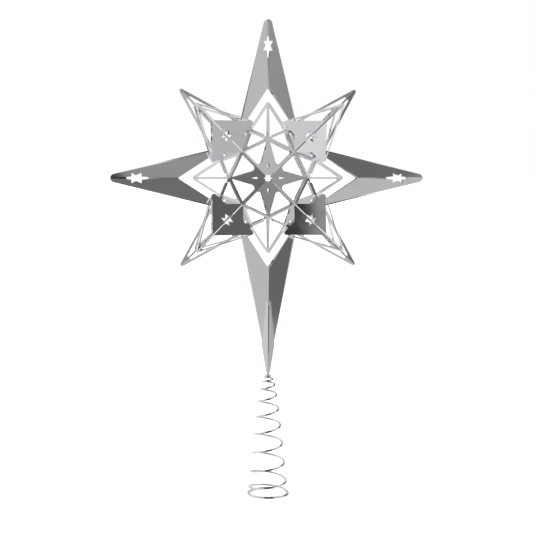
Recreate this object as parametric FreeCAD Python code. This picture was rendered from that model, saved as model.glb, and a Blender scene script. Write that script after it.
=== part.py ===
import FreeCAD, Part
import math
import os

# Tree-topper star: folded openwork sheet metal on a conical coil spring.
# Millimetres. +Z is up and the front faces -Y. The origin is the centre of the
# spring's bottom ring, where it meets what it stands on.

# ---- driving dimensions -------------------------------------------------
star_height = 172.5         # centre of the star above the spring's foot
sheet = 0.5                 # thickness of every folded sheet
solder_gap = 0.02           # between a soldered foot and its plate

# four solid rays
ray_tip_up = 84.3           # star centre to the tip of the top ray
ray_tip_side = 84.2         # star centre to the tip of a side ray
ray_meet_down = 106.2       # where the bottom ray's edges would meet
ray_tip_overrun = 8.2       # how far past a rounded tip its edges would meet
shoulder_reach = 32.7       # distance out at which a ray is widest
shoulder_half = 13.6        # half width of a ray there
notch_reach = 48.5          # apex of the notch in a ray's foot
notch_slope = 0.643         # half width gained per millimetre inwards
ray_fold = 0.42             # rise of a ray's sides towards its ridge
ray_fold_end = 30.8         # distance out at which the fold starts to flatten
foot_start = 28.1           # distance out at which a leg becomes a soldered foot
foot_outer_x = 18.2         # outer side of the foot, and how far in it runs
foot_outer_end = 22.7
foot_inner_x = 14.7         # inner side of the foot, and how far in it runs
foot_inner_end = 21.7
foot_heel = 1.0             # step from the leg's outer edge to the foot's side
foot_waist = 3.2            # step from the leg's inner edge to the foot's side
foot_round = 0.8
notch_round = 0.5

# small cut-out star on the rays, along the ridge
cut_star_reach = 70.7
cut_star_out = 9.6
cut_star_in = 13.5
cut_star_side = 2.7
cut_star_side_out = 2.3
cut_star_side_in = 3.0
cut_star_neck = 0.8         # half width where a long arm starts
cut_star_neck_rise = 0.05   # and how far beyond the short arms' tips that is
cut_star_belly = 1.4        # half width in the middle

# eight-pointed open star in the middle
apex_reach = 41.5
valley_x = 9.2
valley_reach = 27.3
corner_reach = 48.8
apex_height = 0.9
valley_height = 1.8
corner_height = 0.5
rim_band = 1.35             # band along an apex's sides
corner_band = 1.25          # band along a corner's sides
apex_rib = 1.0              # rib on the axis of an apex
corner_rib = 0.8            # rib on the axis of a corner
side_band = 1.3             # band beside the fold from a valley to a diagonal node
ring_band = 0.85            # band outside the line from node to node
gusset_near = 18.2          # where the gusset plates end on the diagonal
gusset_far_x = 19.3         # and where they end at the corner bands
gusset_far_reach = 31.0
gusset_hole_x = 12.1
gusset_hole_reach = 23.4
gusset_hole_r = 0.65
gusset_hole_length = 1.56
gusset_hole_lean = 35
diamond_rounds = [0.3, 0.8, 0.6, 0.3]
pane_rounds = [0.5, 0.8, 0.8]
apex_round = 1.3
corner_round = 1.0

# front and rear nets
centre_height = 1.85
centre_slope = 0.18
node_reach = 20.9
node_diagonal = 14.05
barb_x = 7.3
barb_reach = 29.9
barb_height = 5.2
peak_diagonal = 39.0
peak_height = 14.6
peak_lip = 0.75             # net outside the fold line at a peak
lattice_band = 1.6          # band from node to node
diagonal_band = 1.7         # band from the centre to a diagonal node
link_band = 1.35            # band from a node to a barb
peak_band = 0.55            # band from a barb to a peak, inside its fold
peak_rib = 1.2              # rib from a kite plate to its peak
kite_inner = 13.75          # inner edge of a kite plate
kite_outer = 30.3           # outer edge of a kite plate
barb_root_reach = 23.0      # inner end of a barb's inner edge, on the kite plate
barb_round = 1.4
peak_round = 0.9
node_cap = 1.2              # net beyond a node, before the links leave it
link_start = 0.5            # where the links' centre lines meet beyond a node
link_end_x = 11.85
link_end_reach = 26.35
link_fork_round = 0.6
link_root_round = 0.3
spandrel_rounds = [0.3, 0.5, 1.8]
slot_rounds = [0.25, 0.25, 1.3, 0.4]
peak_window_rounds = [0.1, 0.4, 0.3]
centre_hole_out = 2.7
centre_hole_in = 1.5
centre_hole_points = 8
spike_half = 4.0            # half width of a centre spike at its foot
spike_foot = 7.5
spike_tip_half = 0.2        # and next to its node
spike_tip = 20.4
drop_reach = 6.2            # small pointed drops around the centre
drop_r = 0.62
drop_length = 3.2

# star cut out of each kite plate
kite_star_diagonal = 22.5
kite_star_long = 5.3
kite_star_side = 3.1
kite_star_side_out = 1.1
kite_star_side_in = 1.85
kite_star_neck = 0.75
kite_star_neck_rise = 0.35
kite_star_belly = 1.25

# sleeve on the bottom ray and the pin inside it
sleeve_top = 65.9
sleeve_wide = 90.6
sleeve_bottom = 105.6
sleeve_half = 3.35
sleeve_bottom_half = 0.95
sleeve_top_half = 1.3
sleeve_fold = 0.36
sleeve_top_round = 1.1
sleeve_side_round = 3.0
sleeve_bottom_round = 0.3
sleeve_gap = 0.05           # sleeve to the ray's sheet at the sleeve's top
pin_r = 0.65
pin_gap = 0.07              # sleeve to the pin at the sleeve's bottom
ray_pin_gap = 0.03          # bottom ray to the pin, where the ray is cut off
pin_top = 72.0
pin_head_r = 0.95
rivet_reach = 67.3
rivet_r = 0.5
rivet_head_r = 0.85
rivet_head = 0.35

# spring
wire_r = 0.5
foot_ring_r = 10.9
top_ring_r = 1.45
closing_turns = 0.4         # last part of a turn, drawn in to the pin
pin_solder_gap = 0.1        # wire to pin
ground_turns = 0.78         # flat turns at the foot
turn_rises = [6.9, 10.3, 10.6, 9.9, 9.1, 7.8, 5.5, 3.0, 1.5]
steps_per_turn = 16

reach_through = 40.0        # longer than any sheet is deep


# ---- plain geometry -----------------------------------------------------
def place(x, up, forward=0.0):
    return FreeCAD.Vector(x, -forward, star_height + up)


def edge_to(first, second):
    return Part.LineSegment(first, second).toShape()


def rounded_wire(points, radii):
    """Closed wire through flat (x, up) points, each corner rounded by its radius."""
    corners = []
    count = len(points)
    for i in range(count):
        here = place(*points[i])
        before = place(*points[i - 1]) - here
        after = place(*points[(i + 1) % count]) - here
        before.normalize()
        after.normalize()
        half = before.getAngle(after) / 2
        if radii[i] == 0:
            corners.append((here, here, here))
            continue
        back = radii[i] / math.tan(half)
        middle = (before + after).normalize()
        nearest = here + middle * (radii[i] / math.sin(half) - radii[i])
        corners.append((here + before * back, nearest, here + after * back))
    edges = []
    for i in range(count):
        start, nearest, end = corners[i]
        if (start - end).Length > 1e-6:
            edges.append(Part.Arc(start, nearest, end).toShape())
        following = corners[(i + 1) % count][0]
        if (following - end).Length > 1e-6:
            edges.append(edge_to(end, following))
    return Part.Wire(edges)


def prism(points, radii=None):
    """Everything in front of and behind a flat outline."""
    radii = radii or [0] * len(points)
    face = Part.Face(rounded_wire(points, radii))
    face.translate(FreeCAD.Vector(0, reach_through, 0))
    return face.extrude(FreeCAD.Vector(0, -2 * reach_through, 0))


def folded(facets, thickness=sheet):
    """Sheet over flat facets, each a list of (x, up, height of the sheet's back)."""
    pieces = []
    for facet in facets:
        corners = [place(*corner) for corner in facet]
        face = Part.Face(Part.makePolygon(corners + corners[:1]))
        pieces.append(face.extrude(FreeCAD.Vector(0, -thickness, 0)))
    return join(pieces)


def join(pieces):
    if len(pieces) == 1:
        return pieces[0]
    return pieces[0].multiFuse(pieces[1:]).removeSplitter()


def mirrored_x(points):
    return [(-x, up) for x, up in points]


def turned(shape, degrees):
    """Turned in the star's own plane; positive goes from the top to the left."""
    copy = shape.copy()
    copy.rotate(place(0, 0), FreeCAD.Vector(0, -1, 0), degrees)
    return copy


def to_rear(shape):
    copy = shape.copy()
    copy.rotate(FreeCAD.Vector(0, 0, 0), FreeCAD.Vector(0, 0, 1), 180)
    return copy


def eight_fold(wedge):
    """The wedge between straight up and the diagonal, repeated round the star."""
    normal = FreeCAD.Vector(1, 0, -1).normalize()
    half = wedge.mirror(place(0, 0), normal)
    quarter = join([wedge, half])
    return join([turned(quarter, 90 * i) for i in range(4)])


def pointed_drop(x, up, radius, length, degrees):
    """Prism of a drop: round end at (x, up), point outwards at an angle from straight up."""
    angle = math.acos(radius / length)
    centre = place(x, up)
    axis = FreeCAD.Vector(0, -1, 0)
    point = centre + FreeCAD.Vector(0, 0, length)
    sides = []
    for sign in (-1, 1):
        side = FreeCAD.Vector(sign * math.sin(angle), 0, math.cos(angle)) * radius
        sides.append(centre + side)
    low = centre - FreeCAD.Vector(0, 0, radius)
    arc = Part.Arc(sides[0], low, sides[1]).toShape()
    face = Part.Face(Part.Wire([arc, edge_to(sides[1], point), edge_to(point, sides[0])]))
    face.rotate(centre, axis, degrees)
    face.translate(FreeCAD.Vector(0, reach_through, 0))
    return face.extrude(FreeCAD.Vector(0, -2 * reach_through, 0))


def long_star(reach, out, inward, side, side_out, side_in, neck, neck_rise, belly):
    """Outline of a six-pointed star stretched along the axis it is centred on."""
    right = [
        (neck, reach + side_out + neck_rise),
        (side, reach + side_out),
        (belly, reach),
        (side, reach - side_in),
        (neck, reach - side_in - neck_rise),
    ]
    left = mirrored_x(right)[::-1]
    return [(0, reach + out)] + right + [(0, reach - inward)] + left


def offset_line(start, end, distance):
    """Line parallel to start-end, moved to its right-hand side."""
    dx, dy = end[0] - start[0], end[1] - start[1]
    length = math.hypot(dx, dy)
    shift = (dy / length * distance, -dx / length * distance)
    return [(p[0] + shift[0], p[1] + shift[1]) for p in (start, end)]


def meet(first, second):
    """Crossing point of two lines, each a pair of flat points."""
    (x1, y1), (x2, y2) = first
    (x3, y3), (x4, y4) = second
    cross = (x1 - x2) * (y3 - y4) - (y1 - y2) * (x3 - x4)
    a = x1 * y2 - y1 * x2
    b = x3 * y4 - y3 * x4
    x = (a * (x3 - x4) - (x1 - x2) * b) / cross
    y = (a * (y3 - y4) - (y1 - y2) * b) / cross
    return (x, y)


def plane_height(corners, x, up):
    """Height at (x, up) of the plane through three (x, up, height) corners."""
    (x1, y1, h1), (x2, y2, h2), (x3, y3, h3) = corners
    area = (x2 - x1) * (y3 - y1) - (x3 - x1) * (y2 - y1)
    share2 = ((x - x1) * (y3 - y1) - (x3 - x1) * (up - y1)) / area
    share3 = ((x2 - x1) * (up - y1) - (x - x1) * (y2 - y1)) / area
    return h1 + share2 * (h2 - h1) + share3 * (h3 - h1)


# ---- points that several sheets share -----------------------------------
node = (0.0, node_reach)
diagonal_node = (node_diagonal, node_diagonal)
node_height = centre_height + centre_slope * node_reach
diagonal_height = centre_height + centre_slope * node_diagonal
apex = (0.0, apex_reach)
valley = (valley_x, valley_reach)
corner = (corner_reach, corner_reach)
barb = (barb_x, barb_reach)
peak = (peak_diagonal, peak_diagonal)
diagonal_line = [(0.0, 0.0), (1.0, 1.0)]

# the open star lies one sheet behind the net, and each gusset plate is one plane
gusset_plane = [
    valley + (valley_height,),
    corner + (corner_height,),
    diagonal_node + (diagonal_height - sheet,),
]


# ---- solid rays ---------------------------------------------------------
def ray_shell(meet_reach, tip_reach=None, cut_reach=None):
    """Front half of the ray that points up, its back edge on the middle plane."""
    slope = shoulder_half / (meet_reach - shoulder_reach)

    def edge_x(reach):
        return slope * (meet_reach - reach)

    def inner_x(reach):
        return notch_slope * (notch_reach - reach)

    def foot_height(x, up):
        return plane_height(gusset_plane, x, up) - sheet - solder_gap

    fold_out = (edge_x(ray_fold_end), ray_fold_end)
    fold_in = (inner_x(ray_fold_end), ray_fold_end)
    foot_out = (edge_x(foot_start), foot_start)
    foot_in = (inner_x(foot_start), foot_start)
    fold_in_height = ray_fold * (fold_out[0] - fold_in[0])
    foot = [
        (foot_outer_x, foot_start - foot_heel),
        (foot_outer_x, foot_outer_end),
        (foot_inner_x, foot_inner_end),
        (foot_inner_x, foot_start - foot_waist),
    ]
    facets = []
    for sign in (1, -1):
        main = [
            (0, ray_fold_end, ray_fold * fold_out[0]),
            (0, meet_reach, 0),
            (sign * fold_out[0], fold_out[1], 0),
        ]
        turn_down = [
            (sign * fold_out[0], fold_out[1], 0),
            (sign * fold_in[0], fold_in[1], fold_in_height),
            (sign * foot_in[0], foot_in[1], foot_height(*foot_in)),
        ]
        turn_over = [
            (sign * fold_out[0], fold_out[1], 0),
            (sign * foot_in[0], foot_in[1], foot_height(*foot_in)),
            (sign * foot_out[0], foot_out[1], foot_height(*foot_out)),
        ]
        pad = [(sign * x, up, foot_height(x, up)) for x, up in [foot_in, foot_out] + foot]
        facets += [main, turn_down, turn_over, pad]
    right = [fold_out, foot_out] + foot + [foot_in, fold_in]
    right_radii = [0, 0, foot_round, foot_round, foot_round, 0, 0, 0]
    left = mirrored_x(right)[::-1]
    top = [(0, meet_reach)]
    top_radius = 0
    if tip_reach:
        lean = 1 / math.sin(math.atan(slope))
        top_radius = (meet_reach - tip_reach) / (lean - 1)
    outline = top + right + [(0, notch_reach)] + left
    radii = [top_radius] + right_radii + [notch_round] + right_radii[::-1]
    shell = folded(facets).common(prism(outline, radii))
    if cut_reach:
        end = [(shoulder_half, cut_reach), (shoulder_half, meet_reach)]
        shell = shell.cut(prism(end + mirrored_x(end)[::-1]))
    return shell


def starred_ray(tip_reach):
    shell = ray_shell(tip_reach + ray_tip_overrun, tip_reach=tip_reach)
    star = long_star(
        cut_star_reach, cut_star_out, cut_star_in,
        cut_star_side, cut_star_side_out, cut_star_side_in,
        cut_star_neck, cut_star_neck_rise, cut_star_belly,
    )
    return shell.cut(prism(star))


# ---- open star ----------------------------------------------------------
def open_star_wedge():
    facets = [
        [apex + (apex_height,), valley + (valley_height,), node + (node_height - sheet,)],
        [
            valley + (valley_height,),
            diagonal_node + (diagonal_height - sheet,),
            node + (node_height - sheet,),
        ],
        gusset_plane,
    ]
    rim = offset_line(apex, valley, rim_band)
    rib = [(apex_rib / 2, 0), (apex_rib / 2, 1)]
    ring = offset_line(node, diagonal_node, -ring_band)
    side = offset_line(valley, diagonal_node, side_band)
    diamond = [
        meet(rim, rib),
        meet(rim, side),
        meet(side, ring),
        meet(ring, rib),
    ]
    band = offset_line(valley, corner, corner_band)
    spine = offset_line(diagonal_line[0], diagonal_line[1], -corner_rib / 2)
    back = [(gusset_near, gusset_near), (gusset_far_x, gusset_far_reach)]
    pane = [meet(band, spine), meet(band, back), meet(spine, back)]
    sheet_wedge = folded(facets)
    sheet_wedge = sheet_wedge.cut(prism(diamond, diamond_rounds))
    sheet_wedge = sheet_wedge.cut(prism(pane, pane_rounds))
    hole = pointed_drop(
        gusset_hole_x, gusset_hole_reach, gusset_hole_r, gusset_hole_length, -gusset_hole_lean
    )
    return sheet_wedge.cut(hole)


def open_star():
    star = eight_fold(open_star_wedge())
    for i in range(4):
        star = star.cut(turned(tip_rounder(apex, valley, apex_round), 90 * i))
        star = star.cut(turned(corner_rounder(corner_round), 90 * i))
    return star


def tip_rounder(tip, beside, radius):
    """What is trimmed off to round a tip that points straight up."""
    left = (-beside[0], beside[1])
    whole = prism([tip, beside, left])
    rounded = prism([tip, beside, left], [radius, 0, 0])
    return whole.cut(rounded)


def corner_rounder(radius):
    """What is trimmed off to round the upper right corner of the open star."""
    other = (valley_reach, valley_x)
    whole = prism([valley, corner, other])
    rounded = prism([valley, corner, other], [0, radius, 0])
    return whole.cut(rounded)


# ---- nets ---------------------------------------------------------------
def net_wedge():
    centre_corner = [(0, 0, centre_height), diagonal_node + (diagonal_height,)]
    facets = [
        centre_corner + [node + (node_height,)],
        [node + (node_height,), diagonal_node + (diagonal_height,), barb + (barb_height,)],
        [barb + (barb_height,), diagonal_node + (diagonal_height,), peak + (peak_height,)],
        [barb + (barb_height,), peak + (peak_height,), corner + (corner_height,)],
    ]
    lip = (peak_diagonal + peak_lip, peak_diagonal + peak_lip)
    outer = [barb, lip]
    inner = offset_line(barb, peak, peak_band)
    ring_in = offset_line(node, diagonal_node, lattice_band / 2)
    ring_out = offset_line(node, diagonal_node, -lattice_band / 2)
    root = (kite_inner, barb_root_reach)
    barb_side = [barb, root]
    link = [(0, node_reach + link_start), (link_end_x, link_end_reach)]
    link_out = offset_line(link[0], link[1], -link_band / 2)
    link_in = offset_line(link[0], link[1], link_band / 2)
    spine = offset_line(diagonal_line[0], diagonal_line[1], -diagonal_band / 2)
    rib = offset_line(diagonal_line[0], diagonal_line[1], -peak_rib / 2)
    spike = [(spike_half, spike_foot), (spike_tip_half, spike_tip)]
    cap = [(0, node_reach + node_cap), (1, node_reach + node_cap)]
    kite_top = [(0, kite_outer), (1, kite_outer)]
    kite_side = [(kite_inner, 0), (kite_inner, 1)]

    outline = [
        (0, 0),
        cap[0],
        meet(link_out, cap),
        meet(link_out, barb_side),
        barb,
        lip,
    ]
    outline_radii = [0, 0, link_fork_round, link_root_round, barb_round, 0]
    openings = [
        ([meet(spike, ring_in), meet(ring_in, spine), meet(spine, spike)], spandrel_rounds),
        (
            [
                meet(ring_out, link_in),
                meet(link_in, barb_side),
                root,
                meet(kite_side, ring_out),
            ],
            slot_rounds,
        ),
        ([meet(inner, kite_top), meet(inner, rib), meet(rib, kite_top)], peak_window_rounds),
    ]
    wedge = folded(facets).common(prism(outline, outline_radii))
    for points, radii in openings:
        wedge = wedge.cut(prism(points, radii))
    return wedge


def kite_star():
    outline = long_star(
        kite_star_diagonal * math.sqrt(2), kite_star_long, kite_star_long,
        kite_star_side, kite_star_side_out, kite_star_side_in,
        kite_star_neck, kite_star_neck_rise, kite_star_belly,
    )
    return turned(prism(outline), -45)


def centre_hole():
    points = []
    for i in range(2 * centre_hole_points):
        radius = centre_hole_in if i % 2 else centre_hole_out
        angle = math.pi * i / centre_hole_points
        points.append((radius * math.sin(angle), radius * math.cos(angle)))
    return prism(points)


def peak_trim():
    """What is trimmed off to round the upper right peak of a net."""
    lip = (peak_diagonal + peak_lip, peak_diagonal + peak_lip)
    other = (barb_reach, barb_x)
    whole = prism([barb, lip, other])
    rounded = prism([barb, lip, other], [0, peak_round, 0])
    return whole.cut(rounded)


def net():
    shape = eight_fold(net_wedge())
    cutters = [centre_hole()]
    for i in range(4):
        drop = pointed_drop(0, drop_reach, drop_r, drop_length, 0)
        cutters += [turned(cutter, 90 * i) for cutter in (kite_star(), peak_trim(), drop)]
    for cutter in cutters:
        shape = shape.cut(cutter)
    return shape


# ---- sleeve, pin, rivet -------------------------------------------------
ridge_slope = ray_fold * shoulder_half / (ray_meet_down - shoulder_reach)


def bottom_ridge(reach):
    """Height of the bottom ray's ridge, outside, at a distance below the centre."""
    return ridge_slope * (ray_meet_down - reach) + sheet


def bottom_ray_end():
    """Where the bottom ray is cut off: its fold has come down to the pin."""
    return ray_meet_down - (pin_r + ray_pin_gap) * math.hypot(1, ray_fold) / ridge_slope


def sleeve_ridge(reach):
    """Height of the back of a sleeve half at its ridge."""
    top_height = bottom_ridge(sleeve_top) + sleeve_gap
    bottom_height = (pin_r + pin_gap) * math.hypot(1, sleeve_fold)
    share = (reach - sleeve_top) / (sleeve_bottom - sleeve_top)
    return top_height + (bottom_height - top_height) * share


def sleeve():
    """Front half of the sleeve: a narrow folded lozenge, open at its long sides."""
    facets = []
    for side in (1, -1):
        flank = []
        for half, reach in [
            (0, sleeve_top),
            (0, sleeve_bottom),
            (sleeve_half, sleeve_bottom),
            (sleeve_half, sleeve_top),
        ]:
            flank.append((side * half, -reach, sleeve_ridge(reach) - sleeve_fold * half))
        facets.append(flank)
    right = [
        (sleeve_top_half, -sleeve_top),
        (sleeve_half, -sleeve_wide),
        (sleeve_bottom_half, -sleeve_bottom),
    ]
    outline = right + mirrored_x(right)[::-1]
    right_rounds = [sleeve_top_round, sleeve_side_round, sleeve_bottom_round]
    return folded(facets).common(prism(outline, right_rounds + right_rounds[::-1]))


def rivet():
    """Through both sleeve halves and the bottom ray, with a domed head each side."""
    ridge = sleeve_ridge(rivet_reach) + sheet
    rim = ridge - sleeve_fold * rivet_head_r
    crown = ridge + rivet_head

    def at(radius, forward):
        return place(radius, -rivet_reach, forward)

    def head(side):
        shoulder = at(rivet_head_r * math.sqrt(0.5), side * (rim + (crown - rim) * math.sqrt(0.5)))
        return Part.Arc(at(0, side * crown), shoulder, at(rivet_head_r, side * rim)).toShape()

    outline = Part.Wire([
        head(1),
        edge_to(at(rivet_head_r, rim), at(rivet_r, rim)),
        edge_to(at(rivet_r, rim), at(rivet_r, -rim)),
        edge_to(at(rivet_r, -rim), at(rivet_head_r, -rim)),
        head(-1),
        edge_to(at(0, -crown), at(0, crown)),
    ])
    return Part.Face(outline).revolve(at(0, 0), FreeCAD.Vector(0, 1, 0), 360)


def spring_height():
    return 2 * wire_r + sum(turn_rises)


def pin():
    """Round pin that stands on the spring's top turn and turns in the sleeve."""
    low = spring_height() - wire_r
    high = star_height - pin_top
    shaft = Part.makeCylinder(pin_r, high - low, FreeCAD.Vector(0, 0, low))
    head = Part.makeSphere(pin_head_r, FreeCAD.Vector(0, 0, high))
    return join([shaft, head])


# ---- spring -------------------------------------------------------------
def spring_point(turn):
    """Centre of the wire after a number of turns; the foot ring ends at turn 0."""
    angle = 2 * math.pi * turn
    radius = foot_ring_r
    height = wire_r
    if turn > 0:
        share = turn / len(turn_rises)
        radius += (top_ring_r - foot_ring_r) * share
        drawn_in = max(0.0, 1 - (len(turn_rises) - turn) / closing_turns)
        radius += (pin_r + pin_solder_gap + wire_r - radius) * drawn_in ** 2
        whole = min(int(turn), len(turn_rises) - 1)
        height += sum(turn_rises[:whole]) + turn_rises[whole] * (turn - whole)
    return FreeCAD.Vector(radius * math.cos(angle), radius * math.sin(angle), height)


def spring():
    total = ground_turns + len(turn_rises)
    count = int(total * steps_per_turn)
    points = [spring_point(-ground_turns + total * i / count) for i in range(count + 1)]
    curve = Part.BSplineCurve()
    curve.interpolate(points)
    path = Part.Wire([curve.toShape()])
    start = curve.value(curve.FirstParameter)
    ahead = curve.tangent(curve.FirstParameter)[0]
    ring = Part.Wire([Part.Circle(start, ahead, wire_r).toShape()])
    return path.makePipeShell([ring], True, True)


# ---- every sub-part -----------------------------------------------------
def build():
    top_ray = starred_ray(ray_tip_up)
    side_ray = starred_ray(ray_tip_side)
    pin_rivet = rivet()
    bottom_ray = ray_shell(ray_meet_down, cut_reach=bottom_ray_end())
    bottom_ray = turned(bottom_ray, 180).cut(pin_rivet)
    sleeve_half_shell = sleeve().cut(pin_rivet)
    fronts = {
        "ray_top": top_ray,
        "ray_left": turned(side_ray, 90),
        "ray_right": turned(side_ray, -90),
        "ray_bottom": bottom_ray,
        "open_star": open_star(),
        "net": net(),
        "sleeve": sleeve_half_shell,
    }
    parts = {}
    for name, shape in fronts.items():
        parts[name + "_front"] = shape
        opposite = {"ray_left": "ray_right", "ray_right": "ray_left"}.get(name, name)
        parts[opposite + "_rear"] = to_rear(shape)
    parts["sleeve_rivet"] = pin_rivet
    parts["swivel_pin"] = pin()
    parts["spring"] = spring()
    return parts


os.makedirs("parts", exist_ok=True)
for part_name, part_shape in build().items():
    solids = part_shape.Solids
    print(part_name, "solids", len(solids), "valid", part_shape.isValid(),
          "volume %.1f" % part_shape.Volume)
    solid = solids[0] if len(solids) == 1 else Part.makeCompound(solids)
    solid.exportStep("parts/%s.step" % part_name)
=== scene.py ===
import math

import bmesh
import bpy
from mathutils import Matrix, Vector


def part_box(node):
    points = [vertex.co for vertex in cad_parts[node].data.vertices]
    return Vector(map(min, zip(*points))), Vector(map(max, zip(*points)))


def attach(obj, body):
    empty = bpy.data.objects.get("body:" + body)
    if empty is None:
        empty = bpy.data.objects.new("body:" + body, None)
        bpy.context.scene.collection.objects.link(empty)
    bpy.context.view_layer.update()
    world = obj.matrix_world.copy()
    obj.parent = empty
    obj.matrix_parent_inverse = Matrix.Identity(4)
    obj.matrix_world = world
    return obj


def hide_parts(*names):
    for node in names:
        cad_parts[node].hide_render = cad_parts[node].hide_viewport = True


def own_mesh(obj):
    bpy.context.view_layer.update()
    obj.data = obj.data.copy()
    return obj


# A folded openwork star of silver-plated sheet on a conical spring, for the top of a tree.
# Metres, in the frame of the CAD model: +Z up, the front towards -Y, the spring's foot at z = 0.
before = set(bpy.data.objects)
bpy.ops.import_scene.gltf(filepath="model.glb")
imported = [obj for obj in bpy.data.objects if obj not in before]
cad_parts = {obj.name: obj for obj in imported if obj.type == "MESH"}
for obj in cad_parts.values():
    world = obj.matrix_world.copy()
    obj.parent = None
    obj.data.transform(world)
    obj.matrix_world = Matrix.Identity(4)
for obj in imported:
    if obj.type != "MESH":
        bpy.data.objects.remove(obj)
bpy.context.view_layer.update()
mm = 0.001

notSheet = ("swivel_pin", "sleeve_rivet", "spring")
sheetNodes = [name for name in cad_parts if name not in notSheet]
netLow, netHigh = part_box("net_front")
starCentre = Vector((0, 0, (netLow.z + netHigh.z) / 2))
pinLow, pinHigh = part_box("swivel_pin")


def linearColour(hexColour):
    channels = [int(hexColour[i:i + 2], 16) / 255 for i in (1, 3, 5)]
    return [c / 12.92 if c <= 0.04045 else ((c + 0.055) / 1.055) ** 2.4 for c in channels] + [1.0]


def addNode(tree, kind, sockets=None, **settings):
    node = tree.nodes.new(kind)
    for name, value in settings.items():
        setattr(node, name, value)
    for key, value in (sockets or {}).items():
        if isinstance(value, bpy.types.NodeSocket):
            tree.links.new(value, node.inputs[key])
        else:
            node.inputs[key].default_value = value
    return node


# distances in metres, lens and sensor in millimetres, turns in degrees
camera = {"distance": 0.661, "near": 0.01, "lens": 82.3, "sensor": 36.0, "lookDown": 4.2, "fromLeft": 5.0}


def makeCamera():
    data = bpy.data.cameras.new("viewCamera")
    data.lens = camera["lens"]
    data.sensor_width = camera["sensor"]
    data.clip_start = camera["near"]
    view = bpy.data.objects.new("viewCamera", data)
    bpy.context.scene.collection.objects.link(view)
    turn = math.radians(-camera["fromLeft"])
    away = Vector((math.sin(turn), -math.cos(turn), 0)) * camera["distance"]
    view.location = starCentre + away
    view.rotation_euler = (math.radians(90 - camera["lookDown"]), 0, turn)
    bpy.context.scene.camera = view


# What the plating mirrors, by the direction that it mirrors. The rings give a grey for each
# angle round the view, in degrees from the right over the top: the inner ring is what the
# nearly face-on sheets see, the outer ring is what the steep rays see. Where a ring, the
# middle or the rim starts and ends is the sine of the angle from straight ahead. The cards
# are small round panels in front of the rings: how far sideways and up, and half their
# size, all measured across a ball of radius 1 seen from the front.
studio = {
    "inner": [
        (-180, "#A8A8A8"), (-160, "#CDCDCD"), (-140, "#CFCFCF"), (-111, "#DCDCDC"), (-95, "#C4C4C4"),
        (-75, "#BABABA"), (-50, "#B7B7B7"), (-24, "#B4B4B4"), (-12, "#CFCFCF"), (10, "#C8C8C8"),
        (20, "#606060"), (56, "#5C5C5C"), (64, "#BCBCBC"), (92, "#C2C2C2"), (102, "#979797"),
        (116, "#949494"), (122, "#D8D8D8"), (150, "#CFCFCF"), (168, "#BCBCBC"), (180, "#A8A8A8"),
    ],
    "outer": [
        (-180, "#BCBCBC"), (-160, "#BCBCBC"), (-156, "#CECECE"), (-130, "#F2F2F2"), (-112, "#707070"),
        (-98, "#6C6C6C"), (-88, "#F4F4F4"), (-76, "#BABABA"), (-58, "#BCBCBC"), (-48, "#DADADA"),
        (-34, "#D0D0D0"), (-26, "#B4B4B4"), (-18.5, "#B0B0B0"), (-17.2, "#666666"), (-6, "#646464"),
        (4, "#F0F0F0"), (11, "#8E8E8E"), (24, "#989898"), (34, "#B9B9B9"), (48, "#BEBEBE"),
        (61.5, "#BABABA"), (62.8, "#696969"), (76, "#666666"), (86, "#F2F2F2"), (96, "#959595"),
        (104, "#929292"), (120, "#DCDCDC"), (148, "#BDBDBD"), (180, "#BCBCBC"),
    ],
    "innerEnds": 0.62, "outerStarts": 0.655,
    "rimStarts": 0.86, "rimFull": 0.93, "rim": "#F4F4F4",
    "middleEnds": 0.30, "middleFull": 0.24, "middle": "#C0C0C0",
    "behind": "#FFFFFF", "behindShare": 0.5, "behindFull": 0.2,
    "cards": [
        (0.415, -0.01, 0.04, "#6A6A6A"), (0.086, 0.328, 0.038, "#888888"),
        (-0.24, 0.008, 0.028, "#959595"), (-0.35, 0.26, 0.1, "#8A8A8A"),
        (-0.15, 0.45, 0.09, "#969696"), (-0.437, 0.265, 0.08, "#363636"),
        (-0.236, 0.44, 0.06, "#242424"), (-0.15, 0, 0.06, "#151515"),
        (0.088, 0.225, 0.05, "#151515"), (0.09, -0.25, 0.035, "#4A4A4A"),
        (0.08, -0.16, 0.04, "#5C5C5C"), (0.25, -0.08, 0.06, "#606060"),
        (-0.08, -0.08, 0.06, "#707070"), (0.43, 0.345, 0.04, "#FFFFFF"),
        (-0.27, 0.355, 0.035, "#FFFFFF"), (0.49, 0.4, 0.045, "#C8C8C8"),
        (-0.27, -0.36, 0.035, "#2C2C2C"), (0.43, -0.345, 0.035, "#F6F6F6"),
        (-0.215, 0.705, 0.03, "#131313"), (0.93, 0.05, 0.12, "#181818"),
        (0.08, 0.7, 0.15, "#1C1C1C"), (0.08, -0.72, 0.13, "#2A2A2A"),
    ],
    "cardEdge": 0.006,
    "strength": 1.16,
    "backdrop": "#FFFFFF",
}


def fillRamp(ramp, stops):
    elements = ramp.elements
    while len(elements) > 1:
        elements.remove(elements[-1])
    for i, (degrees, grey) in enumerate(stops):
        place = (degrees + 180) / 360
        element = elements[0] if i == 0 else elements.new(place)
        element.position = place
        element.color = linearColour(grey)


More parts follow.
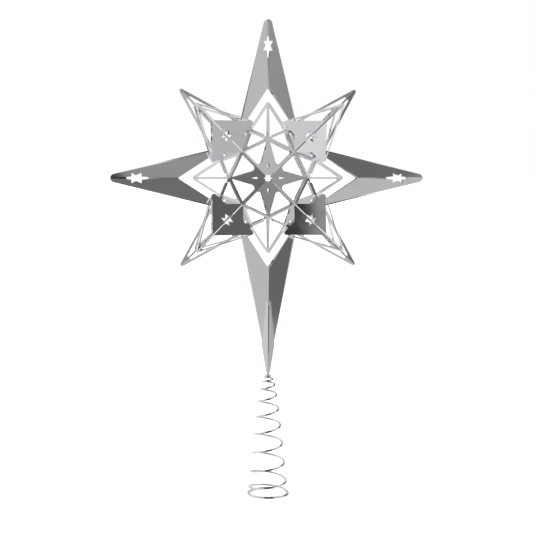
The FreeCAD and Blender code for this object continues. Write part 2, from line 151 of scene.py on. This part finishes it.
def makeStudio():
    world = bpy.data.worlds.new("softStudio")
    bpy.context.scene.world = world
    world.use_nodes = True
    tree = world.node_tree
    tree.nodes.clear()
    direction = addNode(tree, "ShaderNodeTexCoord").outputs["Generated"]
    parts = addNode(tree, "ShaderNodeSeparateXYZ", {0: direction})
    aside, ahead, up = parts.outputs
    angle = addNode(tree, "ShaderNodeMath", {0: up, 1: aside}, operation="ARCTAN2")
    share = addNode(
        tree, "ShaderNodeMath", {0: angle.outputs[0], 1: 0.5 / math.pi, 2: 0.5}, operation="MULTIPLY_ADD"
    )
    depth = addNode(tree, "ShaderNodeMath", {0: ahead, 1: ahead}, operation="MULTIPLY")
    across = addNode(
        tree, "ShaderNodeMath", {0: 1.0, 1: depth.outputs[0]}, operation="SUBTRACT", use_clamp=True
    )
    spread = addNode(tree, "ShaderNodeMath", {0: across.outputs[0], 1: 0.5}, operation="POWER")
    rings = []
    for name in ("inner", "outer"):
        ramp = addNode(tree, "ShaderNodeValToRGB", {0: share.outputs[0]})
        fillRamp(ramp.color_ramp, studio[name])
        rings.append(ramp.outputs[0])
    light = rings[0]
    layers = [
        ("innerEnds", "outerStarts", rings[1]),
        ("rimStarts", "rimFull", linearColour(studio["rim"])),
        ("middleEnds", "middleFull", linearColour(studio["middle"])),
    ]
    for start, full, colour in layers:
        blend = addNode(
            tree, "ShaderNodeMapRange",
            {"Value": spread.outputs[0], "From Min": studio[start], "From Max": studio[full]},
            interpolation_type="SMOOTHSTEP",
        )
        light = addNode(
            tree, "ShaderNodeMix", {0: blend.outputs[0], 6: light, 7: colour}, data_type="RGBA"
        ).outputs[2]
    # what is behind the star is paler
    behind = addNode(
        tree, "ShaderNodeMapRange",
        {"Value": ahead, "From Max": studio["behindFull"], "To Max": studio["behindShare"]},
        interpolation_type="SMOOTHSTEP",
    )
    light = addNode(
        tree, "ShaderNodeMix", {0: behind.outputs[0], 6: light, 7: linearColour(studio["behind"])},
        data_type="RGBA",
    ).outputs[2]
    flatDirection = addNode(tree, "ShaderNodeCombineXYZ", {0: aside, 2: up})
    for cardAside, cardUp, half, grey in studio["cards"]:
        away = addNode(
            tree, "ShaderNodeVectorMath", {0: flatDirection.outputs[0], 1: (cardAside, 0, cardUp)},
            operation="DISTANCE",
        )
        card = addNode(
            tree, "ShaderNodeMapRange",
            {"Value": away.outputs["Value"], "From Min": half + studio["cardEdge"], "From Max": half},
            interpolation_type="SMOOTHSTEP",
        )
        light = addNode(
            tree, "ShaderNodeMix", {0: card.outputs[0], 6: light, 7: linearColour(grey)}, data_type="RGBA"
        ).outputs[2]
    mirrored = addNode(tree, "ShaderNodeBackground", {"Color": light, "Strength": studio["strength"]})
    seen = addNode(tree, "ShaderNodeBackground", {"Color": linearColour(studio["backdrop"])})
    path = addNode(tree, "ShaderNodeLightPath")
    choice = addNode(
        tree, "ShaderNodeMixShader",
        {0: path.outputs["Is Camera Ray"], 1: mirrored.outputs[0], 2: seen.outputs[0]},
    )
    addNode(tree, "ShaderNodeOutputWorld", {"Surface": choice.outputs[0]})


# one even overhead light for the floor; the plating doesn't mirror it, only the studio
overhead = {"strength": 2.6, "softness": 70, "height": 2.0}


def makeLamp():
    data = bpy.data.lights.new("overhead", "SUN")
    data.energy = overhead["strength"]
    data.angle = math.radians(overhead["softness"])
    light = bpy.data.objects.new("overhead", data)
    light.location = (0, 0, overhead["height"])
    light.visible_glossy = False
    bpy.context.scene.collection.objects.link(light)


# a matt paper floor, so wide that its edge is out of sight
floorLook = {"size": 400.0, "colour": "#F6F6F6", "roughness": 0.9}


def makeFloor():
    half = floorLook["size"] / 2
    mesh = bpy.data.meshes.new("floor")
    corners = [(-half, -half, 0), (half, -half, 0), (half, half, 0), (-half, half, 0)]
    mesh.from_pydata(corners, [], [(0, 1, 2, 3)])
    floor = bpy.data.objects.new("floor", mesh)
    bpy.context.scene.collection.objects.link(floor)
    material = bpy.data.materials.new("palePaperSweep")
    material.use_nodes = True
    paper = material.node_tree.nodes["Principled BSDF"]
    paper.inputs["Base Color"].default_value = linearColour(floorLook["colour"])
    paper.inputs["Roughness"].default_value = floorLook["roughness"]
    mesh.materials.append(material)
    floor.visible_glossy = False


def newMetal(name):
    material = bpy.data.materials.new(name)
    material.use_nodes = True
    metal = material.node_tree.nodes["Principled BSDF"]
    metal.inputs["Metallic"].default_value = 1.0
    return material, material.node_tree, metal


# Bright silver plating on thin cold-rolled sheet: mirrors almost cleanly, with the
# faint waves of sheet that was bent by hand tools and a very light haze of handling.
# The polishing lines are drawn coarser than real ones, which are too fine to show.
plating = {
    "colour": "#E6E8EA", "haze": "#E2E4E6",
    "roughness": 0.05, "hazeRoughness": 0.08,
    "wave": 24 * mm, "waveHeight": 0.008 * mm,
    "smudge": 9 * mm, "hazeFrom": 0.46, "hazeFull": 0.72,
    "line": 0.35 * mm, "lineHeight": 0.0006 * mm,
}


def makePlating():
    material, tree, metal = newMetal("brightSilverPlating")
    place = addNode(tree, "ShaderNodeTexCoord").outputs["Object"]
    smudge = addNode(
        tree, "ShaderNodeTexNoise",
        {"Vector": place, "Scale": 1 / plating["smudge"], "Detail": 4.0, "Roughness": 0.6},
    )
    worn = addNode(
        tree, "ShaderNodeMapRange",
        {"Value": smudge.outputs[0], "From Min": plating["hazeFrom"], "From Max": plating["hazeFull"]},
        interpolation_type="SMOOTHSTEP",
    )
    colour = addNode(
        tree, "ShaderNodeMix",
        {0: worn.outputs[0], 6: linearColour(plating["colour"]), 7: linearColour(plating["haze"])},
        data_type="RGBA",
    )
    tree.links.new(colour.outputs[2], metal.inputs["Base Color"])
    rough = addNode(
        tree, "ShaderNodeMapRange",
        {"Value": worn.outputs[0], "To Min": plating["roughness"], "To Max": plating["hazeRoughness"]},
    )
    tree.links.new(rough.outputs[0], metal.inputs["Roughness"])
    wave = addNode(
        tree, "ShaderNodeTexNoise",
        {"Vector": place, "Scale": 1 / plating["wave"], "Detail": 1.0, "Roughness": 0.4},
    )
    bend = addNode(
        tree, "ShaderNodeBump",
        {"Height": wave.outputs[0], "Distance": plating["waveHeight"], "Strength": 1.0},
    )
    lines = addNode(
        tree, "ShaderNodeTexNoise",
        {"Vector": place, "Scale": 1 / plating["line"], "Detail": 2.0, "Roughness": 0.5},
    )
    polish = addNode(
        tree, "ShaderNodeBump",
        {"Height": lines.outputs[0], "Distance": plating["lineHeight"], "Strength": 1.0,
         "Normal": bend.outputs[0]},
    )
    tree.links.new(polish.outputs[0], metal.inputs["Normal"])
    return material


# Hard-drawn spring wire with the same bright plating: draw lines run along it, coarser than
# real ones so that they show, and stretch every highlight across the wire. Two painted dark
# reflections on every turn, one at the front and one towards the right, darken the wire's
# colour to stand in for dark things that such a wire mirrors. Each painted reflection is the
# way out to a patch from the spring's axis, and a patch fades in between the cosines
# paintedReflectionFrom and paintedReflectionFull.
wireFinish = {
    "colour": "#D2D4D6", "line": "#A4A6A9", "roughness": 0.05, "lineRoughness": 0.12,
    "lineLength": 6 * mm, "linesRound": 14.0, "lineHeight": 0.001 * mm,
    "lineFrom": 0.5, "lineFull": 0.75,
    # the painted dark reflections: their colour, where they sit round the axis and how they fade in
    "paintedReflection": "#5E6062", "paintedReflections": [(-0.05, -1.0), (0.84, -0.54)], "paintedReflectionFrom": 0.965, "paintedReflectionFull": 0.99,
}


def makeWireFinish():
    material, tree, metal = newMetal("brightDrawnWire")
    along = addNode(tree, "ShaderNodeAttribute", attribute_name="alongWire")
    around = addNode(tree, "ShaderNodeAttribute", attribute_name="roundWire")
    length = addNode(
        tree, "ShaderNodeMath", {0: along.outputs["Fac"], 1: 1 / wireFinish["lineLength"]},
        operation="MULTIPLY",
    )
    turn = addNode(
        tree, "ShaderNodeMath", {0: around.outputs["Fac"], 1: 2 * math.pi}, operation="MULTIPLY"
    )
    ring = []
    for kind in ("COSINE", "SINE"):
        wave = addNode(tree, "ShaderNodeMath", {0: turn.outputs[0]}, operation=kind)
        ring.append(addNode(
            tree, "ShaderNodeMath", {0: wave.outputs[0], 1: wireFinish["linesRound"] / math.pi},
            operation="MULTIPLY",
        ).outputs[0])
    spot = addNode(tree, "ShaderNodeCombineXYZ", {0: ring[0], 1: ring[1], 2: length.outputs[0]})
    lines = addNode(
        tree, "ShaderNodeTexNoise",
        {"Vector": spot.outputs[0], "Scale": 1.0, "Detail": 2.0, "Roughness": 0.5},
    )
    share = addNode(
        tree, "ShaderNodeMapRange",
        {"Value": lines.outputs[0],
         "From Min": wireFinish["lineFrom"], "From Max": wireFinish["lineFull"]},
    )
    colour = addNode(
        tree, "ShaderNodeMix",
        {0: share.outputs[0],
         6: linearColour(wireFinish["colour"]), 7: linearColour(wireFinish["line"])},
        data_type="RGBA",
    ).outputs[2]
    place = addNode(tree, "ShaderNodeTexCoord").outputs["Object"]
    level = addNode(tree, "ShaderNodeVectorMath", {0: place, 1: (1, 1, 0)}, operation="MULTIPLY")
    outwards = addNode(tree, "ShaderNodeVectorMath", {0: level.outputs[0]}, operation="NORMALIZE")
    # painted dark reflections: two patches on every turn darken the wire's colour where it would mirror
    # something dark
    for aside, back in wireFinish["paintedReflections"]:
        facing = addNode(
            tree, "ShaderNodeVectorMath", {0: outwards.outputs[0], 1: (aside, back, 0)},
            operation="DOT_PRODUCT",
        )
        paintedReflection = addNode(
            tree, "ShaderNodeMapRange",
            {"Value": facing.outputs["Value"], "From Min": wireFinish["paintedReflectionFrom"],
             "From Max": wireFinish["paintedReflectionFull"]},
            interpolation_type="SMOOTHSTEP",
        )
        colour = addNode(
            tree, "ShaderNodeMix", {0: paintedReflection.outputs[0], 6: colour, 7: linearColour(wireFinish["paintedReflection"])},
            data_type="RGBA",
        ).outputs[2]
    tree.links.new(colour, metal.inputs["Base Color"])
    rough = addNode(
        tree, "ShaderNodeMapRange",
        {"Value": share.outputs[0],
         "To Min": wireFinish["roughness"], "To Max": wireFinish["lineRoughness"]},
    )
    tree.links.new(rough.outputs[0], metal.inputs["Roughness"])
    bump = addNode(
        tree, "ShaderNodeBump", {"Height": lines.outputs[0], "Distance": wireFinish["lineHeight"]}
    )
    tree.links.new(bump.outputs[0], metal.inputs["Normal"])
    return material


# Free-cutting steel turned on a lathe: tool rings across the axis and a softer shine. Real
# rings are too fine to show at this size, so these are drawn several times as coarse.
turnedFinish = {
    "colour": "#DCDEE0", "dull": "#C4C6C8", "roughness": 0.22, "mottle": 2.5 * mm,
    "ring": 1.76 * mm, "ringHeight": 0.004 * mm, "ringWander": 0.4,
}
waveAtScaleOne = math.pi / 10  # the length of one band of Blender's wave texture at scale 1


def makeTurnedSteel():
    material, tree, metal = newMetal("turnedSteel")
    place = addNode(tree, "ShaderNodeTexCoord").outputs["Object"]
    rings = addNode(
        tree, "ShaderNodeTexWave",
        {"Vector": place, "Scale": waveAtScaleOne / turnedFinish["ring"],
         "Distortion": turnedFinish["ringWander"], "Detail": 1.0},
        bands_direction="Z",
    )
    mottle = addNode(tree, "ShaderNodeTexNoise", {"Vector": place, "Scale": 1 / turnedFinish["mottle"]})
    colour = addNode(
        tree, "ShaderNodeMix",
        {0: mottle.outputs[0],
         6: linearColour(turnedFinish["colour"]), 7: linearColour(turnedFinish["dull"])},
        data_type="RGBA",
    )
    tree.links.new(colour.outputs[2], metal.inputs["Base Color"])
    metal.inputs["Roughness"].default_value = turnedFinish["roughness"]
    bump = addNode(
        tree, "ShaderNodeBump", {"Height": rings.outputs[0], "Distance": turnedFinish["ringHeight"]}
    )
    tree.links.new(bump.outputs[0], metal.inputs["Normal"])
    return material


def addPiece(name, mesh, body, material, replaced=None):
    piece = bpy.data.objects.new(name, mesh)
    bpy.context.scene.collection.objects.link(piece)
    mesh.materials.clear()
    mesh.materials.append(material)
    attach(piece, body)
    if replaced:
        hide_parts(replaced)
    return piece


# Sheet metal: the cut edges are broken by tumbling, and a fold is pressed to a narrow flat
# strip, widest along the ridges of the rays. Angles are in degrees, and a face is a cut
# wall if the y part of its normal is less than wallLean.
sheetWork = {
    "weld": 0.002 * mm, "flatWithin": 0.35, "foldFrom": 3.0,
    "ridge": 0.55 * mm, "crease": 0.24 * mm, "cutRound": 0.06 * mm,
    "wallLean": 0.3, "wallRound": 40,
}


def isWall(face):
    return abs(face.normal.y) < sheetWork["wallLean"]


def foldsBeside(work, walls):
    # a crease has no cut wall beside it, a cut edge has one
    folds = []
    for edge in work.edges:
        if len(edge.link_faces) != 2 or edge.calc_face_angle(0.0) < math.radians(sheetWork["foldFrom"]):
            continue
        if sum(isWall(face) for face in edge.link_faces) == walls:
            folds.append(edge)
    return folds


def breakEdges(work, edges, width, clamp):
    bmesh.ops.bevel(
        work, geom=edges, offset=width, offset_type="OFFSET", segments=1, profile=0.5,
        affect="EDGES", clamp_overlap=clamp,
    )


def dressSheet(node, material):
    work = bmesh.new()
    work.from_mesh(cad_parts[node].data)
    bmesh.ops.remove_doubles(work, verts=work.verts, dist=sheetWork["weld"])
    bmesh.ops.dissolve_limit(
        work, angle_limit=math.radians(sheetWork["flatWithin"]), verts=work.verts, edges=work.edges
    )
    strip = sheetWork["ridge"] if node.startswith("ray") else sheetWork["crease"]
    breakEdges(work, foldsBeside(work, 0), strip, clamp=False)
    breakEdges(work, foldsBeside(work, 1), sheetWork["cutRound"], clamp=True)
    bmesh.ops.recalc_face_normals(work, faces=work.faces)
    # facets stay flat; only the cut walls round a corner are shaded as a curve
    for face in work.faces:
        face.smooth = isWall(face)
    for edge in work.edges:
        edge.smooth = edge.calc_face_angle(math.pi) < math.radians(sheetWork["wallRound"])
    mesh = bpy.data.meshes.new(node)
    work.to_mesh(mesh)
    work.free()
    addPiece(node + "_sheet", mesh, "star", material, node)


# Radii are to the middle of the wire, and wire is its own radius. The foot is a flat part of
# a turn, then each turn climbs by its own rise, in millimetres.
springShape = {
    "footRing": 10.9 * mm, "topRing": 1.45 * mm, "wire": 0.5 * mm, "pinRing": 1.25 * mm,
    "flatTurns": 0.78, "closingTurns": 0.4,
    "rises": [6.9, 10.3, 10.6, 9.9, 9.1, 7.8, 5.5, 3.0, 1.5],
    "stepsPerTurn": 48, "sides": 20, "sharpFrom": 50,
}


def springTree(material):
    tree = bpy.data.node_groups.new("conicalSpring", "GeometryNodeTree")
    rises = springShape["rises"]
    sizes = {
        "Foot Radius": springShape["footRing"], "Top Radius": springShape["topRing"],
        "Wire Radius": springShape["wire"], "Closed Radius": springShape["pinRing"],
        "Turns": float(len(rises)), "Flat Turns": springShape["flatTurns"],
        "Closing Turns": springShape["closingTurns"], "Rise": sum(rises) * mm,
    }
    for name in sizes:
        tree.interface.new_socket(name=name, in_out="INPUT", socket_type="NodeSocketFloat")
    tree.interface.new_socket(name="Geometry", in_out="OUTPUT", socket_type="NodeSocketGeometry")
    given = tree.nodes.new("NodeGroupInput").outputs
    count = int(springShape["stepsPerTurn"] * (len(rises) + springShape["flatTurns"]))
    line = addNode(tree, "GeometryNodeCurvePrimitiveLine", {"End": (0, 0, 1)})
    path = addNode(tree, "GeometryNodeResampleCurve", {"Curve": line.outputs[0], "Count": count})
    share = addNode(tree, "GeometryNodeSplineParameter").outputs["Factor"]
    total = addNode(tree, "ShaderNodeMath", {0: given["Turns"], 1: given["Flat Turns"]}, operation="ADD")
    wound = addNode(tree, "ShaderNodeMath", {0: share, 1: total.outputs[0]}, operation="MULTIPLY")
    turn = addNode(
        tree, "ShaderNodeMath", {0: wound.outputs[0], 1: given["Flat Turns"]}, operation="SUBTRACT"
    )
    rising = addNode(tree, "ShaderNodeMath", {0: turn.outputs[0], 1: 0.0}, operation="MAXIMUM")
    climbed = addNode(
        tree, "ShaderNodeMath", {0: rising.outputs[0], 1: given["Turns"]}, operation="DIVIDE"
    )
    # the cone, with the last part of a turn drawn in to the pin, slowly at first
    cone = addNode(
        tree, "ShaderNodeMapRange",
        {"Value": climbed.outputs[0], "To Min": given["Foot Radius"], "To Max": given["Top Radius"]},
    )
    left = addNode(tree, "ShaderNodeMath", {0: given["Turns"], 1: turn.outputs[0]}, operation="SUBTRACT")
    shut = addNode(
        tree, "ShaderNodeMath", {0: left.outputs[0], 1: given["Closing Turns"]}, operation="DIVIDE"
    )
    near = addNode(
        tree, "ShaderNodeMath", {0: 1.0, 1: shut.outputs[0]}, operation="SUBTRACT", use_clamp=True
    )
    drawn = addNode(tree, "ShaderNodeMath", {0: near.outputs[0], 1: 2.0}, operation="POWER")
    radius = addNode(
        tree, "ShaderNodeMix", {0: drawn.outputs[0], 2: cone.outputs[0], 3: given["Closed Radius"]}
    )
    # each turn climbs by its own amount
    climb = addNode(tree, "ShaderNodeFloatCurve", {"Value": climbed.outputs[0]})
    climb.mapping.use_clip = False
    points = climb.mapping.curves[0].points  # it starts as a straight line from (0, 0) to (1, 1)
    height = 0
    for i, rise in enumerate(rises[:-1]):
        height += rise
        points.new((i + 1) / len(rises), height / sum(rises))
    for point in points:
        point.handle_type = "VECTOR"
    climb.mapping.update()
    up = addNode(
        tree, "ShaderNodeMath", {0: climb.outputs[0], 1: given["Rise"], 2: given["Wire Radius"]},
        operation="MULTIPLY_ADD",
    )
    angle = addNode(tree, "ShaderNodeMath", {0: turn.outputs[0], 1: 2 * math.pi}, operation="MULTIPLY")
    sides = []
    for kind in ("COSINE", "SINE"):
        swing = addNode(tree, "ShaderNodeMath", {0: angle.outputs[0]}, operation=kind)
        sides.append(addNode(
            tree, "ShaderNodeMath", {0: swing.outputs[0], 1: radius.outputs[0]}, operation="MULTIPLY"
        ).outputs[0])
    spot = addNode(tree, "ShaderNodeCombineXYZ", {0: sides[0], 1: sides[1], 2: up.outputs[0]})
    helix = addNode(
        tree, "GeometryNodeSetPosition", {"Geometry": path.outputs[0], "Position": spot.outputs[0]}
    )
    length = addNode(tree, "GeometryNodeSplineParameter").outputs["Length"]
    marked = addNode(
        tree, "GeometryNodeStoreNamedAttribute",
        {"Geometry": helix.outputs[0], "Name": "alongWire", "Value": length}, data_type="FLOAT",
    )
    circle = addNode(
        tree, "GeometryNodeCurvePrimitiveCircle",
        {"Resolution": springShape["sides"], "Radius": given["Wire Radius"]},
    )
    around = addNode(tree, "GeometryNodeSplineParameter").outputs["Factor"]
    section = addNode(
        tree, "GeometryNodeStoreNamedAttribute",
        {"Geometry": circle.outputs[0], "Name": "roundWire", "Value": around}, data_type="FLOAT",
    )
    wire = addNode(
        tree, "GeometryNodeCurveToMesh",
        {"Curve": marked.outputs[0], "Profile Curve": section.outputs[0], "Fill Caps": True},
    )
    real = addNode(tree, "GeometryNodeRealizeInstances", {"Geometry": wire.outputs[0]})
    done = addNode(
        tree, "GeometryNodeSetMaterial", {"Geometry": real.outputs[0], "Material": material}
    )
    addNode(tree, "NodeGroupOutput", {"Geometry": done.outputs[0]})
    return tree, sizes


def growMesh(name, tree, sizes):
    holder = bpy.data.objects.new(name + "Grower", bpy.data.meshes.new(name + "Seed"))
    bpy.context.scene.collection.objects.link(holder)
    modifier = holder.modifiers.new("grow", "NODES")
    modifier.node_group = tree
    for item in tree.interface.items_tree:
        if item.in_out == "INPUT" and item.name in sizes:
            modifier[item.identifier] = sizes[item.name]
    evaluated = holder.evaluated_get(bpy.context.evaluated_depsgraph_get())
    mesh = bpy.data.meshes.new_from_object(evaluated)
    mesh.name = name
    bpy.data.objects.remove(holder)
    return mesh


def roundShading(mesh, sharpFrom):
    work = bmesh.new()
    work.from_mesh(mesh)
    for face in work.faces:
        face.smooth = True
    for edge in work.edges:
        edge.smooth = edge.calc_face_angle(0.0) <= math.radians(sharpFrom)
    work.to_mesh(mesh)
    work.free()


def makeSpring(material):
    tree, sizes = springTree(material)
    mesh = growMesh("spring_wire_coil", tree, sizes)
    roundShading(mesh, springShape["sharpFrom"])
    spring = addPiece("spring_wire_coil", mesh, "spring", material, "spring")
    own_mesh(spring)


def lathe(name, profile, centre, axis, sides):
    # the profile is (radius, distance along the axis), and both its ends are on the axis
    work = bmesh.new()
    side = axis.orthogonal().normalized()
    other = axis.cross(side)
    rings = []
    for radius, along in profile:
        middle = centre + axis * along
        if radius == 0:
            rings.append([work.verts.new(middle)])
            continue
        ring = []
        for i in range(sides):
            turn = 2 * math.pi * i / sides
            outwards = side * math.cos(turn) + other * math.sin(turn)
            ring.append(work.verts.new(middle + outwards * radius))
        rings.append(ring)
    for first, second in zip(rings, rings[1:]):
        for i in range(sides):
            following = (i + 1) % sides
            corners = [first[i % len(first)], first[following % len(first)],
                       second[following % len(second)], second[i % len(second)]]
            work.faces.new(list(dict.fromkeys(corners)))
    bmesh.ops.recalc_face_normals(work, faces=work.faces)
    mesh = bpy.data.meshes.new(name)
    work.to_mesh(mesh)
    work.free()
    return mesh


# a straight shaft with a ball for a head; shaft and head are radii
pinShape = {
    "shaft": 0.65 * mm, "head": 0.95 * mm, "chamfer": 0.12 * mm,
    "sides": 40, "headSteps": 14, "sharpFrom": 35,
}


def makePin(material):
    shaft = pinShape["shaft"]
    head = pinShape["head"]
    low = pinLow.z
    centre = pinHigh.z - head
    neck = math.asin(shaft / head)
    profile = [(0, low), (shaft - pinShape["chamfer"], low), (shaft, low + pinShape["chamfer"])]
    for i in range(pinShape["headSteps"] + 1):
        turn = math.pi - neck - (math.pi - neck) * i / pinShape["headSteps"]
        profile.append((head * math.sin(turn), centre + head * math.cos(turn)))
    profile[-1] = (0, pinHigh.z)
    mesh = lathe("swivel_pin_turned", profile, Vector((0, 0, 0)), Vector((0, 0, 1)), pinShape["sides"])
    roundShading(mesh, pinShape["sharpFrom"])
    addPiece("swivel_pin_turned", mesh, "pin", material, "swivel_pin")


# The joint that holds the spring's top turn to the pin, a cone with a rounded foot: radius
# and height over the pin's lower end, in millimetres.
solderShape = {
    "profile": [
        (0, -0.5), (1.1, -0.45), (1.55, -0.1), (1.6, 0.3),
        (1.35, 0.75), (0.95, 1.1), (0.6, 1.3), (0, 1.3),
    ],
    "sides": 36, "sharpFrom": 60,
}


def makeSolder(material):
    profile = [(radius * mm, along * mm) for radius, along in solderShape["profile"]]
    mesh = lathe(
        "solder_joint", profile, Vector((0, 0, pinLow.z)), Vector((0, 0, 1)), solderShape["sides"]
    )
    roundShading(mesh, solderShape["sharpFrom"])
    addPiece("solder_joint", mesh, "pin", material)


# one domed head at each end of the shank; shank and head are radii, dome is a height
rivetShape = {
    "shank": 0.5 * mm, "head": 0.85 * mm, "dome": 0.5 * mm,
    "sides": 32, "steps": 7, "sharpFrom": 35,
}


def makeRivet(material):
    low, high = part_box("sleeve_rivet")
    centre = (low + high) / 2
    reach = (high.y - low.y) / 2
    seat = reach - rivetShape["dome"]
    half = []
    for i in range(rivetShape["steps"] + 1):
        turn = math.pi / 2 * i / rivetShape["steps"]
        half.append((rivetShape["head"] * math.sin(turn), seat + rivetShape["dome"] * math.cos(turn)))
    half.append((rivetShape["shank"], seat))
    profile = half + [(radius, -along) for radius, along in reversed(half)]
    mesh = lathe("sleeve_rivet_domed", profile, centre, Vector((0, 1, 0)), rivetShape["sides"])
    roundShading(mesh, rivetShape["sharpFrom"])
    addPiece("sleeve_rivet_domed", mesh, "star", material, "sleeve_rivet")


bpy.context.scene.view_settings.view_transform = "Standard"
makeCamera()
makeStudio()
makeLamp()
makeFloor()
print("studio ready")

silver = makePlating()
wireMetal = makeWireFinish()
steel = makeTurnedSteel()
for sheetNode in sheetNodes:
    dressSheet(sheetNode, silver)
print("sheets folded:", len(sheetNodes))
makeSpring(wireMetal)
print("spring wound")
makePin(steel)
makeSolder(steel)
makeRivet(steel)
print("pin and rivet turned")
